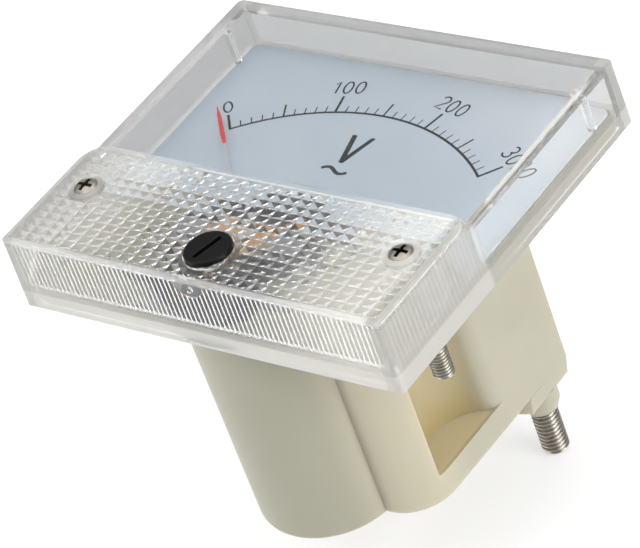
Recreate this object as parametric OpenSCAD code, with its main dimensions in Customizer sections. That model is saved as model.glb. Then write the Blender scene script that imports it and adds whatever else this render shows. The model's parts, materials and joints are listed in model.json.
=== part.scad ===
// Analogue panel voltmeter: clear cover, moving-coil movement and moulded base.
// Frame: +X to the right of the dial, +Y to its top, +Z out of the face.
// z = 0 is the panel seat, the back of the flange and of the cover's skirt.
// The origin lies on it, midway between the two mounting studs. Millimetres.

/* [Front cover] */
// Width of the cover across the dial
cover_w = 64; // [62:0.5:70]
// Height of the cover from its bottom edge to its top edge
cover_h = 56; // [55:0.5:62]
// Plan radius of the cover's corners
cover_corner_r = 0.8; // [0.5:0.1:2]
// Inward lean of each side wall over its height
side_draft = 0.2; // [0.1:0.05:0.5]
// Thickness of the side walls
cover_wall = 1.85; // [1.6:0.05:2.2]
// Thickness of the window face
window_t = 1.8; // [1.4:0.05:2.2]
// Bevel along the cover's front edges
edge_bevel = 0.25; // [0.15:0.05:0.5]
// Length of the raised prism block from the bottom edge
block_l = 21.1; // [20:0.1:23]
// Height of the prism block over the window face
block_step = 1.1; // [0.7:0.1:1.6]
// Run of the slope between the block and the window
block_slope = 1.2; // [0.4:0.1:2]
// Plan radius of the block's two upper corners
block_corner_r = 3.5; // [2:0.1:5]
// Thickness of the block's face over the prisms
block_face_t = 1.1; // [1:0.05:1.6]
// Thickness of the block's walls over the flutes
block_wall = 1; // [0.9:0.05:1.4]
// Width of one prism
prism_pitch_x = 2.05; // [1.8:0.05:2.6]
// Length of one prism
prism_pitch_y = 1.45; // [1.2:0.05:1.8]
// Depth of the prisms
prism_depth = 0.65; // [0.4:0.05:0.8]
// Width of one flute inside the block's walls
flute_pitch = 0.81; // [0.7:0.01:1.2]
// Depth of the flutes
flute_depth = 0.3; // [0.15:0.05:0.4]
// Room between the tallest piece of the movement and the prisms
headroom = 1.3; // [0.9:0.05:1.6]

/* [Flange and dial] */
// Thickness of the housing's flange
flange_t = 2.8; // [2.6:0.1:3.6]
// Thickness of the dial plate
dial_t = 0.4; // [0.3:0.05:0.8]
// Margin of the dial plate inside the flange's edge
dial_margin = 0.3; // [0.2:0.05:1]
// Distance of the dial's lower edge over the pivot
dial_over_pivot = 5.9; // [5.5:0.1:7]
// Radius of the round opening in the dial round the pivot
dial_opening_r = 9.6; // [9.2:0.1:10.4]
// Sideways place of the dial screws
dial_screw_x = 17; // [15.5:0.1:19]

/* [Movement] */
// Distance of the pivot over the cover's bottom edge
pivot_up = 11.8; // [11.4:0.1:12.6]
// Diameter of the core magnet
core_d = 10.2; // [9.6:0.1:11]
// Radial gap between the core magnet and the yoke ring
air_gap = 1.9; // [1.85:0.05:2.2]
// Radial thickness of the yoke ring
yoke_t = 1.7; // [1.6:0.05:2]
// Length of the moving coil
coil_l = 13; // [11.5:0.1:14]
// Width of the moving coil
coil_w = 2.8; // [2.4:0.1:3]
// Pointer length from the pivot to its tip
pointer_l = 36.5; // [33:0.1:37]
// Length of the pointer's red end
pointer_tip_l = 9.6; // [7:0.1:11]
// Greatest width of the pointer's red end
pointer_tip_w = 0.62; // [0.4:0.02:0.9]
// Rest angle of the pointer to the left of the dial's middle
rest_angle = 43; // [41:0.5:45]

/* [Zero adjuster] */
// Distance of the adjuster under the pivot
adjuster_drop = 5.4; // [5.2:0.05:5.8]
// Diameter of the adjuster's head
adjuster_d = 6.8; // [6:0.1:7]
// Height of the head over the block's face
adjuster_proud = 0.6; // [0.3:0.05:1]
// Turn of the slot to the right of the dial's middle
slot_turn = 16; // [0:1:45]
// Offset of the eccentric pin
pin_offset = 0.6; // [0.45:0.05:0.65]

/* [Housing] */
// Depth of the housing behind the panel seat
body_depth = 35.6; // [33:0.1:40]
// Height of the housing's body without the barrel
body_h = 35.3; // [34:0.1:38]
// Reach of the body under the pivot
body_under_pivot = 2.6; // [2.4:0.1:3]
// Room between the movement's lugs and the body's side walls
side_room = 1.8; // [1.6:0.1:2.4]
// Wall thickness of the body
body_wall = 1.5; // [1.3:0.05:1.7]
// Radius of the two lower lobes
lobe_r = 7; // [6.8:0.1:7.4]
// Radius of the side pockets
pocket_r = 6.8; // [6.2:0.1:7]
// Depth of the side pockets
pocket_in = 5.8; // [5.2:0.1:6]
// Rounding between a pocket and the side face
pocket_lip_r = 3; // [2:0.1:4]
// Thickness of the rear plate behind the pockets
rear_plate_t = 4.6; // [4.2:0.1:5.2]
// Rounding of the rear edge
rear_fillet = 1.2; // [0.8:0.1:1.5]

/* [Studs] */
// Diameter of the mounting studs
stud_d = 3; // [2.8:0.1:3.4]
// Length of the mounting studs behind the panel seat
stud_l = 9.4; // [8:0.1:14]
// Distance of the studs from the cover's sides
stud_inset = 5.4; // [5.2:0.05:6]
// Distance of the studs over the cover's bottom edge
stud_up = 13; // [11.5:0.1:14]
// Diameter of the terminal studs
terminal_d = 4; // [3.4:0.1:4.2]
// Length of the terminal studs behind their bosses
terminal_l = 7.9; // [6:0.1:11]
// Distance of the terminals under the body's top
terminal_down = 4.9; // [4.6:0.1:6]
// Distance of the terminals from the body's side
terminal_in = 3.1; // [3:0.1:4]

/* [Hidden] */
$fn = 64;
round_fn = 32;
eps = 0.05;

// fits: running is a turning fit, press holds two pieces together, slip lets one pass through
running = 0.05;
press = 0.02;
slip = 0.15;
apart = 0.3;

// flange and dial
skirt_gap = 0.1;
cavity_x = cover_w / 2 - side_draft - cover_wall;
cover_low = -stud_up;
cover_high = cover_low + cover_h;
cavity_low = cover_low + side_draft + cover_wall;
cavity_high = cover_high - side_draft - cover_wall;
flange_x = cavity_x - skirt_gap;
flange_low = cavity_low + skirt_gap;
flange_high = cavity_high - skirt_gap;
dial_z = flange_t + dial_t;
pivot_y = cover_low + pivot_up;
dial_screw_r = 0.8;
dial_screw_l = 2.6;
dial_screw_head_r = 1.4;
dial_screw_head_t = 0.9;
dial_screw_y = pivot_y + dial_over_pivot + 2.6;

// magnet system, measured from the pivot
core_r = core_d / 2;
yoke_in_r = core_r + air_gap;
yoke_r = yoke_in_r + yoke_t;
frame_t = 0.9;
frame_top = flange_t - 0.4;
frame_z = frame_top - frame_t;
lug_r = 2.2;
lug_x = yoke_r + lug_r + 1.5;
lug_screw_r = 0.9;
lug_screw_l = 6.5;
lug_screw_head_r = 1.7;
lug_screw_head_t = 1.1;
lug_hole_r = lug_screw_r + 0.1;
web_w = 3;
web_l = 6.7;

// moving coil: it passes over the frame's tabs with a gap
former_t = 0.25;
winding_t = 0.55;
coil_end_t = former_t + winding_t;
coil_top = frame_top + apart + coil_end_t;
coil_rear = coil_top - coil_l;
former_x = core_r + 0.4;
core_top = coil_top - coil_end_t - 0.4;
core_rear = coil_rear + coil_end_t + 0.4;
yoke_rear = core_rear + 0.7;

// staff, pointer and springs, stacked from the coil's front end
base_t = 0.3;
base_r = 1.35;
staff_r = 0.4;
hub_r = 1.1;
hub_z = coil_top + base_t;
hub_l = 1;
pointer_z = hub_z + 0.6;
pointer_t = 0.3;
arm_w = 0.4;
arm_l = 5;
weight_r = 0.5;
weight_l = 1.4;
weight_at = 4.1;
collet_r = 0.8;
spring_h = 0.45;
spring_z = pointer_z + pointer_t + 0.5;
spring_in_r = collet_r + running;
spring_out_r = 3.1;
spring_t = 0.13;
spring_turns = 4;
spring_steps = 40;
tip_h = 0.45;
jewel_r = 1.1;
jewel_z = spring_z + spring_h + 0.25;
cup_r = 0.55;
cup_h = 0.5;

// front bridge, zero lever and lock nut
bridge_z = jewel_z + 0.35;
bridge_t = 0.9;
bridge_top = bridge_z + bridge_t;
bridge_w = 4.4;
leg_t = 0.8;
leg_x = lug_x - lug_r - leg_t;
boss_r = 1.6;
lever_z = bridge_top + running;
lever_t = 0.4;
boss_top = lever_z + lever_t + 0.1;
nut_r = 2.1;
nut_t = 0.5;
jewel_top = boss_top + nut_t + 0.1;
lever_ring_r = 2.4;

// cover heights follow the movement below the prisms
prism_base = jewel_top + headroom + prism_depth;
block_top = prism_base + block_face_t;
window_top = block_top - block_step;
window_under = window_top - window_t;
block_rear = cover_low + block_l;
field_x = cover_w / 2 - side_draft - block_wall;
field_low = cover_low + side_draft + block_wall;
field_high = block_rear - 0.2;
field_l = field_high - field_low;
field_y = (field_low + field_high) / 2;
prism_cols = floor(2 * field_x / prism_pitch_x);
prism_rows = floor(field_l / prism_pitch_y);
flutes_x = floor(2 * (field_x - flute_depth) / flute_pitch);
flutes_y = floor((field_l - 1) / flute_pitch);
flute_z = dial_z + 0.1;
gate_r = 2.6;
gate_up = 0.7;
gate_t = flute_depth + 0.1;
pip_r = 0.4;
pip_drop = 1.6;
pip_l = 0.4;
rib_w = 0.9;
rib_out = 0.8;
rib_y = cavity_high - 4.7;

// cover screws and mounting studs share their axes
stud_x = cover_w / 2 - stud_inset;
stud_r = stud_d / 2;
collar_r = stud_r + 0.7;
collar_t = 1.8;
nose_r = 0.5;
neck_r = stud_r - 0.25;
seat_relief = 0.5;
screw_head_r = 1.7;
screw_foot_r = 1.3;
screw_rim_t = 0.1;
screw_sink = 0.7;
screw_dome = 0.35;
screw_r = 1;
screw_in_stud = 4.5;
tube_r = 2.6;
rim_z = block_top - screw_rim_t;
seat_z = rim_z - screw_sink;

// zero adjuster
adjuster_y = pivot_y - adjuster_drop;
adjuster_r = adjuster_d / 2;
adjuster_top = block_top + adjuster_proud;
ledge_z = block_top - 0.9;
recess_r = adjuster_r + slip;
stem_r = 1.8;
groove_r = 1.4;
guide_r = recess_r + 0.75;
guide_z = prism_base - prism_depth - 0.05;
clip_t = 0.35;
clip_r = 2.9;
clip_z = guide_z - running - clip_t;
stem_end = clip_z - apart;
pin_r = 0.35;
slot_w = 0.75;
slot_l = 4.7;
slot_deep = 0.8;
pin_arm = adjuster_drop - pin_offset;
fork_in = pin_arm - pin_r - 0.5;
fork_l = 2 * pin_offset + 2 * pin_r + 0.8;
fork_prong = 0.5;
fork_half = pin_r + running;
finger_y = spring_out_r + spring_t / 2 + running;
finger_t = 0.5;
finger_z = spring_z;

// housing outline
body_half = lug_x + lug_r + body_wall + side_room;
body_low = pivot_y - body_under_pivot;
body_high = body_low + body_h;
top_r = 0.6;
top_fillet = 0.4;
barrel_room = 0.7;
barrel_r = yoke_r + barrel_room + body_wall;
pocket_x = body_half + pocket_r - pocket_in;
pocket_y = body_low + 11.6;
floor_t = 2;
floor_z = floor_t - body_depth;
plate_front = rear_plate_t - body_depth;
seat_gap = 0.3;

// terminals and circuit board
terminal_x = body_half - terminal_in;
terminal_y = body_high - terminal_down;
terminal_r = terminal_d / 2;
pad_r = 5.6;
pad_t = 2.4;
pad_inset = 0.35;
pad_z = -body_depth - pad_t;
boss_l = 2.2;
cone_l = 1.3;
outer_boss_r = terminal_r + 0.85;
cone_r = terminal_r + 0.3;
collar2_r = terminal_r + 0.5;
neck2_r = terminal_r - 0.25;
boss_end = pad_z - boss_l - cone_l;
collar2_z = pad_z + 0.4;
terminal_end = boss_end - terminal_l;
inner_boss_r = 3.5;
board_z = floor_z + 5;
board_t = 1.4;
board_front = board_z + board_t;
board_x = terminal_x + 1;
board_low = terminal_y - 7.6;
board_high = terminal_y + 3;
pin2_r = 0.65;
part_lift = 0.2;
resistor_r = 1.7;
resistor_l = 8.4;
resistor_span = 12;
resistor_leg_r = 0.3;
diode_r = 0.9;
diode_l = 3.4;
diode_span = 5;
diode_leg_r = 0.25;
diode_pitch = 6.6;
diode_y = board_low + 3;

// rear pivot and bridge
rear_spring_z = coil_rear - base_t - 0.25 - spring_h;
rear_jewel_z = rear_spring_z - 0.25;
rear_strap_z = rear_jewel_z - 0.9;
strap_t = 0.9;
strap_w = 3.6;
pillar_r = 0.8;
pillar_x = yoke_in_r + yoke_t / 2;
strap_half = pillar_x + pillar_r;
small_screw_r = 0.4;
small_screw_in = 2;
small_head_t = 0.7;
rear_jewel_end = rear_strap_z - strap_t - nut_t - 0.1;
post_r = 0.3;

// leads between the board and the movement
lead_r = 0.4;
lead_x = 9.2;

// colours
IVORY = [0.90, 0.86, 0.70];
CLEAR = [0.86, 0.92, 0.95];
STEEL = [0.72, 0.73, 0.75];
BRASS = [0.80, 0.64, 0.30];
COPPER = [0.72, 0.38, 0.18];
BLACK = [0.07, 0.07, 0.08];
PALE = [0.88, 0.92, 0.96];
RED = [0.80, 0.10, 0.08];
DARK = [0.22, 0.22, 0.24];
GREEN = [0.16, 0.38, 0.24];
BLUE = [0.35, 0.62, 0.78];
ALLOY = [0.80, 0.81, 0.82];

// plain shapes

module at_sides(x, y) {
  for (side = [-1, 1])
    translate([side * x, y, 0]) children();
}

module at_pivot() {
  translate([0, pivot_y, 0]) children();
}

module rod(r, z0, z1) {
  translate([0, 0, z0]) cylinder(r = r, h = z1 - z0);
}

module cone(r0, r1, z0, z1) {
  translate([0, 0, z0]) cylinder(r1 = r0, r2 = r1, h = z1 - z0);
}

module tube(r_out, r_in, z0, z1) {
  difference() {
    rod(r_out, z0, z1);
    rod(r_in, z0 - 1, z1 + 1);
  }
}

module block(x0, x1, y0, y1, z0, z1) {
  translate([x0, y0, z0]) cube([x1 - x0, y1 - y0, z1 - z0]);
}

// flat rectangle between two corners with one radius for the lower pair and one for the upper pair
module rounded(x, y0, y1, r_low, r_high) {
  for (side = [-1, 1]) {
    translate([side * (x - r_low), y0 + r_low]) circle(r_low, $fn = round_fn);
    translate([side * (x - r_high), y1 - r_high]) circle(r_high, $fn = round_fn);
  }
  translate([r_low - x, y0]) square([2 * (x - r_low), y1 - y0 - r_high]);
  translate([r_high - x, y0 + r_low]) square([2 * (x - r_high), y1 - y0 - r_low]);
  translate([-x, y0 + r_low]) square([2 * x, y1 - y0 - r_low - r_high]);
}

module slice(z) {
  translate([0, 0, z]) linear_extrude(eps) children();
}

// pan-head screw with a cross recess, head seat at z = seat
module cross_screw(head_r, head_t, shank_r, seat, tip) {
  cross = head_r * 1.2;
  bar = head_r * 0.28;
  difference() {
    union() {
      rod(head_r, seat, seat + head_t * 0.7);
      cone(head_r, head_r * 0.75, seat + head_t * 0.7, seat + head_t);
      rod(shank_r, tip, seat + eps);
    }
    for (turn = [0, 90])
      rotate([0, 0, turn])
        block(-cross / 2, cross / 2, -bar / 2, bar / 2, seat + head_t * 0.45, seat + head_t + 1);
  }
}

// raised countersunk screw with a cross recess, narrow foot at z = seat_z
module sunk_screw(tip) {
  cross = screw_head_r * 1.4;
  bar = screw_head_r * 0.34;
  difference() {
    union() {
      cone(screw_foot_r, screw_head_r, seat_z, rim_z);
      rod(screw_head_r, rim_z - eps, block_top);
      cone(screw_head_r, screw_head_r * 0.8, block_top, block_top + screw_dome * 0.6);
      cone(screw_head_r * 0.8, screw_head_r * 0.4, block_top + screw_dome * 0.6, block_top + screw_dome);
      rod(screw_r, tip, seat_z + eps);
    }
    for (turn = [0, 90])
      rotate([0, 0, turn])
        block(-cross / 2, cross / 2, -bar / 2, bar / 2, seat_z + screw_rim_t, block_top + 1);
  }
}

// flat spiral strip ending at the outer radius on the +X axis
function spiral_r(i) =
  spring_in_r + spring_t / 2 + (spring_out_r - spring_in_r - spring_t) * i / (spring_turns * spring_steps);
function spiral_side(off, list) =
  [for (i = list) (spiral_r(i) + off) * [cos(360 * i / spring_steps), sin(360 * i / spring_steps)]];
module spiral(z) {
  last = spring_turns * spring_steps;
  translate([0, 0, z])
    linear_extrude(spring_h)
      polygon(concat(spiral_side(spring_t / 2, [0 : last]), spiral_side(-spring_t / 2, [last : -1 : 0])));
}

// round wire along a list of points
function unit(v) = v / norm(v);
function along(p, i) = unit(p[min(i + 1, len(p) - 1)] - p[max(i - 1, 0)]);
function ring_of(p, i, r, n) =
  let (t = along(p, i), u = unit(cross(t, [0.3, 0.2, 0.9])), v = cross(t, u))
  [for (k = [0 : n - 1]) p[i] + r * (cos(360 * k / n) * u + sin(360 * k / n) * v)];
module wire(p, r, n = 10) {
  rings = [for (i = [0 : len(p) - 1]) each ring_of(p, i, r, n)];
  tail = (len(p) - 1) * n;
  sides = [for (i = [0 : len(p) - 2], k = [0 : n - 1])
           [i * n + k, i * n + (k + 1) % n, (i + 1) * n + (k + 1) % n, (i + 1) * n + k]];
  polyhedron(rings, concat(sides, [[for (k = [n - 1 : -1 : 0]) k], [for (k = [0 : n - 1]) tail + k]]));
}

// smooth curve through wire points
function bend(p, a) =
  let (i = min(floor(a), len(p) - 2), s = a - i,
       p0 = p[max(i - 1, 0)], p1 = p[i], p2 = p[i + 1], p3 = p[min(i + 2, len(p) - 1)])
  0.5 * (2 * p1 + (p2 - p0) * s + (2 * p0 - 5 * p1 + 4 * p2 - p3) * s * s
         + (3 * p1 - p0 - 3 * p2 + p3) * s * s * s);
function smooth(p, n) = [for (i = [0 : n * (len(p) - 1)]) bend(p, i / n)];

// front cover

module cover_plan(inset) {
  rounded(cover_w / 2 - inset, cover_low + inset, cover_high - inset, cover_corner_r, cover_corner_r);
}

module block_plan(inset, rear) {
  rounded(cover_w / 2 - side_draft - inset, cover_low + side_draft + inset, rear - inset,
          cover_corner_r, block_corner_r);
}

module cover_outside() {
  hull() {
    slice(0) cover_plan(0);
    slice(window_top - edge_bevel) cover_plan(side_draft);
    slice(window_top - eps) cover_plan(side_draft + edge_bevel);
  }
  hull() {
    slice(window_under) block_plan(0, block_rear);
    slice(window_top - 2 * eps) block_plan(-0.02, block_rear + block_slope);
    slice(block_top - edge_bevel) block_plan(0, block_rear + block_slope * 0.15);
    slice(block_top - eps) block_plan(edge_bevel, block_rear);
  }
}

// row of V teeth along X standing on the line y = 0
module teeth(count, pitch, depth, root) {
  half = count * pitch / 2;
  edge = [for (i = [0 : 2 * count]) [i * pitch / 2 - half, i % 2 == 0 ? 0 : depth]];
  polygon(concat(edge, [[half, -root], [-half, -root]]));
}

// field of four-sided prisms pointing to the dial
module prisms() {
  wide = prism_cols * prism_pitch_x;
  long = prism_rows * prism_pitch_y;
  root = block_face_t / 3;
  translate([0, field_y, prism_base])
    intersection() {
      translate([0, long / 2, 0])
        rotate([90, 0, 0])
          linear_extrude(long)
            mirror([0, 1]) teeth(prism_cols, prism_pitch_x, prism_depth, root);
      translate([-wide / 2, 0, 0])
        rotate([90, 0, 90])
          linear_extrude(wide)
            mirror([0, 1]) teeth(prism_rows, prism_pitch_y, prism_depth, root);
    }
}

module flutes() {
  root = block_wall / 3;
  translate([0, field_low, flute_z])
    linear_extrude(prism_base - flute_z + eps) teeth(flutes_x, flute_pitch, flute_depth, root);
  for (side = [-1, 1])
    translate([side * field_x, field_y, flute_z])
      rotate([0, 0, side * 90])
        linear_extrude(prism_base - flute_z + eps) teeth(flutes_y, flute_pitch, flute_depth, root);
}

// half-round pad with a pip inside the front wall under the adjuster
module gate_pad() {
  intersection() {
    translate([0, field_low - eps, block_top - gate_up])
      rotate([-90, 0, 0]) {
        rod(gate_r, 0, eps + gate_t);
        translate([0, pip_drop, 0]) rod(pip_r, 0, eps + gate_t + pip_l);
      }
    block(-gate_r, gate_r, field_low - eps, field_low + gate_t + pip_l, flute_z, prism_base + eps);
  }
}

module front_cover() {
  color(CLEAR)
    difference() {
      union() {
        difference() {
          cover_outside();
          block(-cavity_x, cavity_x, cavity_low, cavity_high, -1, window_under);
          block(-field_x, field_x, field_low, field_high, flute_z, prism_base);
        }
        prisms();
        flutes();
        gate_pad();
        at_sides(stud_x, 0) rod(tube_r, flange_t, prism_base + eps);
        translate([0, adjuster_y, 0]) rod(guide_r, guide_z, prism_base + eps);
        for (side = [-1, 1])
          translate([side * cavity_x, rib_y, 0])
            block(-rib_out, rib_out, -rib_w / 2, rib_w / 2, dial_z + running, window_under + eps);
      }
      at_sides(stud_x, 0) {
        rod(screw_r + slip, 0, block_top);
        cone(screw_foot_r + running, screw_head_r + running, seat_z, rim_z);
        rod(screw_head_r + running, rim_z - eps, block_top + 1);
      }
      translate([0, adjuster_y, 0]) {
        rod(recess_r, ledge_z, block_top + 1);
        rod(stem_r + running, 0, block_top);
      }
    }
}

module cover_screws() {
  color(STEEL)
    at_sides(stud_x, 0)
      sunk_screw(flange_t - screw_in_stud);
}

module mounting_studs() {
  color(STEEL)
    at_sides(stud_x, 0)
      difference() {
        union() {
          rod(collar_r, flange_t - collar_t, flange_t);
          rod(neck_r, -eps, flange_t - collar_t + eps);
          rod(stud_r, nose_r - stud_l, 0);
          cone(stud_r - nose_r, stud_r, -stud_l, nose_r - stud_l);
        }
        rod(screw_r + press, flange_t - screw_in_stud - 0.5, flange_t + 1);
      }
}

// zero adjuster

module zero_adjuster() {
  color(BLACK)
    translate([0, adjuster_y, 0])
      difference() {
        union() {
          rod(adjuster_r, ledge_z, adjuster_top - edge_bevel);
          cone(adjuster_r, adjuster_r - edge_bevel, adjuster_top - edge_bevel, adjuster_top);
          rod(stem_r, clip_z + clip_t, ledge_z + eps);
          rod(groove_r, clip_z, clip_z + clip_t + eps);
          rod(stem_r, stem_end, clip_z);
          translate([0, pin_offset, 0]) rod(pin_r, lever_z - 0.2, stem_end + eps);
        }
        rotate([0, 0, -slot_turn])
          block(-slot_w / 2, slot_w / 2, -slot_l / 2, slot_l / 2,
                adjuster_top - slot_deep, adjuster_top + 1);
      }
}

module adjuster_clip() {
  color(STEEL)
    translate([0, adjuster_y, 0])
      difference() {
        rod(clip_r, clip_z, clip_z + clip_t);
        rod(groove_r + press, clip_z - 1, clip_z + clip_t + 1);
        block(-groove_r * 0.8, groove_r * 0.8, -clip_r - 1, 0, clip_z - 1, clip_z + clip_t + 1);
      }
}

module zero_lever() {
  color(BRASS)
    at_pivot() {
      difference() {
        union() {
          rod(lever_ring_r, lever_z, lever_z + lever_t);
          block(-finger_t, finger_t, -fork_in - eps, 0, lever_z, lever_z + lever_t);
          block(-fork_half - fork_prong, fork_half + fork_prong, -fork_in - fork_l, -fork_in,
                lever_z, lever_z + lever_t);
        }
        rod(boss_r + running, lever_z - 1, lever_z + lever_t + 1);
        block(-fork_half, fork_half, -fork_in - fork_l - 1, -fork_in - 0.3,
              lever_z - 1, lever_z + lever_t + 1);
      }
      block(-finger_t / 2, finger_t / 2, -finger_y - finger_t, -finger_y, finger_z, lever_z + eps);
    }
}

// dial and pointer

module dial_plate() {
  color(PALE)
    difference() {
      translate([0, 0, flange_t])
        linear_extrude(dial_t)
          difference() {
            rounded(flange_x - dial_margin, pivot_y + dial_over_pivot, flange_high - dial_margin, 1, 1);
            translate([0, pivot_y]) circle(dial_opening_r);
          }
      at_sides(dial_screw_x, dial_screw_y) rod(dial_screw_r + slip, 0, dial_z + 1);
    }
}

module dial_screws() {
  color(STEEL)
    at_sides(dial_screw_x, dial_screw_y)
      cross_screw(dial_screw_head_r, dial_screw_head_t, dial_screw_r, dial_z, dial_z - dial_screw_l);
}

module pointer() {
  neck = 0.36;
  tip_start = pointer_l - pointer_tip_l;
  color(RED)
    at_pivot()
      rotate([0, 0, rest_angle])
        difference() {
          union() {
            rod(hub_r, hub_z, hub_z + hub_l);
            translate([0, 0, pointer_z])
              linear_extrude(pointer_t) {
                polygon([[-hub_r * 0.6, 0], [hub_r * 0.6, 0], [neck / 2, tip_start], [pointer_tip_w / 2, tip_start + 2],
                         [pointer_tip_w / 2.4, pointer_l - 2.5], [0, pointer_l],
                         [-pointer_tip_w / 2.4, pointer_l - 2.5], [-pointer_tip_w / 2, tip_start + 2],
                         [-neck / 2, tip_start]]);
                translate([-arm_w / 2, -arm_l]) square([arm_w, arm_l]);
                translate([-arm_l, -arm_w / 2]) square([2 * arm_l, arm_w]);
              }
          }
          rod(staff_r + press, hub_z - 1, hub_z + hub_l + 1);
        }
}

module balance_weights() {
  bore = 0.28;
  color(BRASS)
    at_pivot()
      rotate([0, 0, rest_angle])
        for (turn = [90, 180, 270])
          rotate([0, 0, turn])
            translate([0, weight_at - weight_l / 2, pointer_z + pointer_t / 2])
              rotate([-90, 0, 0]) tube(weight_r, bore, 0, weight_l);
}

module pivots() {
  color(STEEL)
    at_pivot() {
      rod(base_r, coil_top, hub_z);
      rod(staff_r, hub_z - eps, jewel_z - running);
      cone(staff_r, 0.06, jewel_z - running, jewel_z - running + tip_h);
      rod(collet_r, spring_z, spring_z + spring_h);
      rod(base_r, coil_rear - base_t, coil_rear);
      rod(staff_r, rear_jewel_z + running, coil_rear - base_t + eps);
      cone(0.06, staff_r, rear_jewel_z + running - tip_h, rear_jewel_z + running);
      rod(collet_r, rear_spring_z, rear_spring_z + spring_h);
    }
}

module coil_loop(in, out, w) {
  difference() {
    block(-former_x - out, former_x + out, -w / 2, w / 2,
          coil_rear + coil_end_t - out, coil_top - coil_end_t + out);
    block(-former_x - in, former_x + in, -w, w, coil_rear + coil_end_t - in, coil_top - coil_end_t + in);
  }
}

module coil_former() {
  color(ALLOY)
    at_pivot() rotate([0, 0, rest_angle]) coil_loop(0, former_t, coil_w);
}

module coil_winding() {
  color(COPPER)
    at_pivot() rotate([0, 0, rest_angle]) coil_loop(former_t, coil_end_t, coil_w - 0.2);
}

module front_hairspring() {
  color(BRASS)
    at_pivot() rotate([0, 0, -90]) spiral(spring_z);
}

module rear_hairspring() {
  color(BRASS)
    at_pivot() spiral(rear_spring_z);
}

// magnet system and bridges

module core_magnet() {
  color(DARK)
    at_pivot() rod(core_r, core_rear, core_top);
}

module yoke_ring() {
  color(STEEL)
    at_pivot()
      difference() {
        tube(yoke_r, yoke_in_r, yoke_rear, frame_z);
        at_sides(pillar_x, 0) rod(small_screw_r + press, yoke_rear - 1, yoke_rear + small_screw_in + 0.2);
      }
}

module lug_plan(grow) {
  at_sides(lug_x, 0) circle(lug_r + grow);
  translate([-lug_x, -lug_r - grow]) square([2 * lug_x, 2 * (lug_r + grow)]);
}

module movement_frame() {
  color(ALLOY)
    at_pivot() {
      difference() {
        translate([0, 0, frame_z])
          linear_extrude(frame_t) {
            difference() {
              union() {
                circle(yoke_r);
                lug_plan(0);
              }
              circle(yoke_in_r);
            }
            for (side = [-1, 1])
              translate([-web_w / 2, side * (core_r + yoke_in_r + 0.6) / 2 - (air_gap + 0.5) / 2])
                square([web_w, air_gap + 0.5]);
          }
        at_sides(lug_x, 0) rod(lug_hole_r, 0, flange_t);
        rod(core_r + press, 0, flange_t);
      }
      difference() {
        intersection() {
          rod(yoke_in_r - running, frame_z - web_l, frame_z + eps);
          block(-web_w / 2, web_w / 2, -yoke_r, yoke_r, frame_z - web_l - 1, flange_t);
        }
        rod(core_r + press, frame_z - web_l - 1, flange_t);
      }
    }
}

module front_bridge() {
  foot_t = leg_t;
  color(ALLOY)
    at_pivot()
      difference() {
        union() {
          for (side = [-1, 1])
            mirror([side < 0 ? 1 : 0, 0, 0]) {
              rod_at_lug(frame_top, frame_top + foot_t);
              block(leg_x, lug_x, -bridge_w / 2, bridge_w / 2, frame_top, frame_top + foot_t);
              block(leg_x, leg_x + leg_t, -bridge_w / 2, bridge_w / 2, frame_top, bridge_top);
            }
          block(-leg_x - eps, leg_x + eps, -bridge_w / 2, bridge_w / 2, bridge_z, bridge_top);
          rod(boss_r, bridge_top - eps, boss_top);
        }
        rod(jewel_r + press, bridge_z - 1, boss_top + 1);
        at_sides(lug_x, 0) rod(lug_hole_r, frame_top - 1, frame_top + foot_t + 1);
      }
}

module rod_at_lug(z0, z1) {
  translate([lug_x, 0, 0]) rod(lug_r, z0, z1);
}

module rear_bridge() {
  color(BRASS)
    at_pivot() {
      difference() {
        union() {
          block(-pillar_x, pillar_x, -strap_w / 2, strap_w / 2, rear_strap_z - strap_t, rear_strap_z);
          at_sides(pillar_x, 0) rod(pillar_r, rear_strap_z - strap_t, yoke_rear);
        }
        rod(jewel_r + press, rear_strap_z - strap_t - 1, rear_strap_z + 1);
        at_sides(pillar_x, 0) rod(small_screw_r + press, rear_strap_z - strap_t - 1, yoke_rear + 1);
      }
      translate([spring_out_r + post_r + running, 0, 0])
        rod(post_r, rear_strap_z - eps, rear_spring_z + spring_h);
    }
}

module front_jewel_screw() {
  color(BRASS)
    at_pivot()
      difference() {
        rod(jewel_r, jewel_z, jewel_top);
        cone(cup_r, 0.1, jewel_z - eps, jewel_z + cup_h);
        block(-jewel_r - 1, jewel_r + 1, -0.2, 0.2, jewel_top - 0.4, jewel_top + 1);
      }
}

module rear_jewel_screw() {
  color(BRASS)
    at_pivot()
      difference() {
        rod(jewel_r, rear_jewel_end, rear_jewel_z);
        cone(0.1, cup_r, rear_jewel_z - cup_h, rear_jewel_z + eps);
        block(-jewel_r - 1, jewel_r + 1, -0.2, 0.2, rear_jewel_end - 1, rear_jewel_end + 0.4);
      }
}

module lock_nut(z0) {
  difference() {
    translate([0, 0, z0]) cylinder(r = nut_r, h = nut_t, $fn = 6);
    rod(jewel_r + press, z0 - 1, z0 + nut_t + 1);
  }
}

module jewel_lock_nuts() {
  color(STEEL)
    at_pivot() {
      lock_nut(boss_top);
      lock_nut(rear_strap_z - strap_t - nut_t);
    }
}

module rear_bridge_screws() {
  seat = rear_strap_z - strap_t;
  color(STEEL)
    at_pivot()
      at_sides(pillar_x, 0) {
        rod(pillar_r, seat - small_head_t, seat);
        rod(small_screw_r, seat - eps, yoke_rear + small_screw_in);
      }
}

module movement_screws() {
  color(STEEL)
    at_pivot()
      at_sides(lug_x, 0)
        cross_screw(lug_screw_head_r, lug_screw_head_t, lug_screw_r,
                    frame_top + leg_t, frame_top - lug_screw_l);
}

// housing

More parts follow.
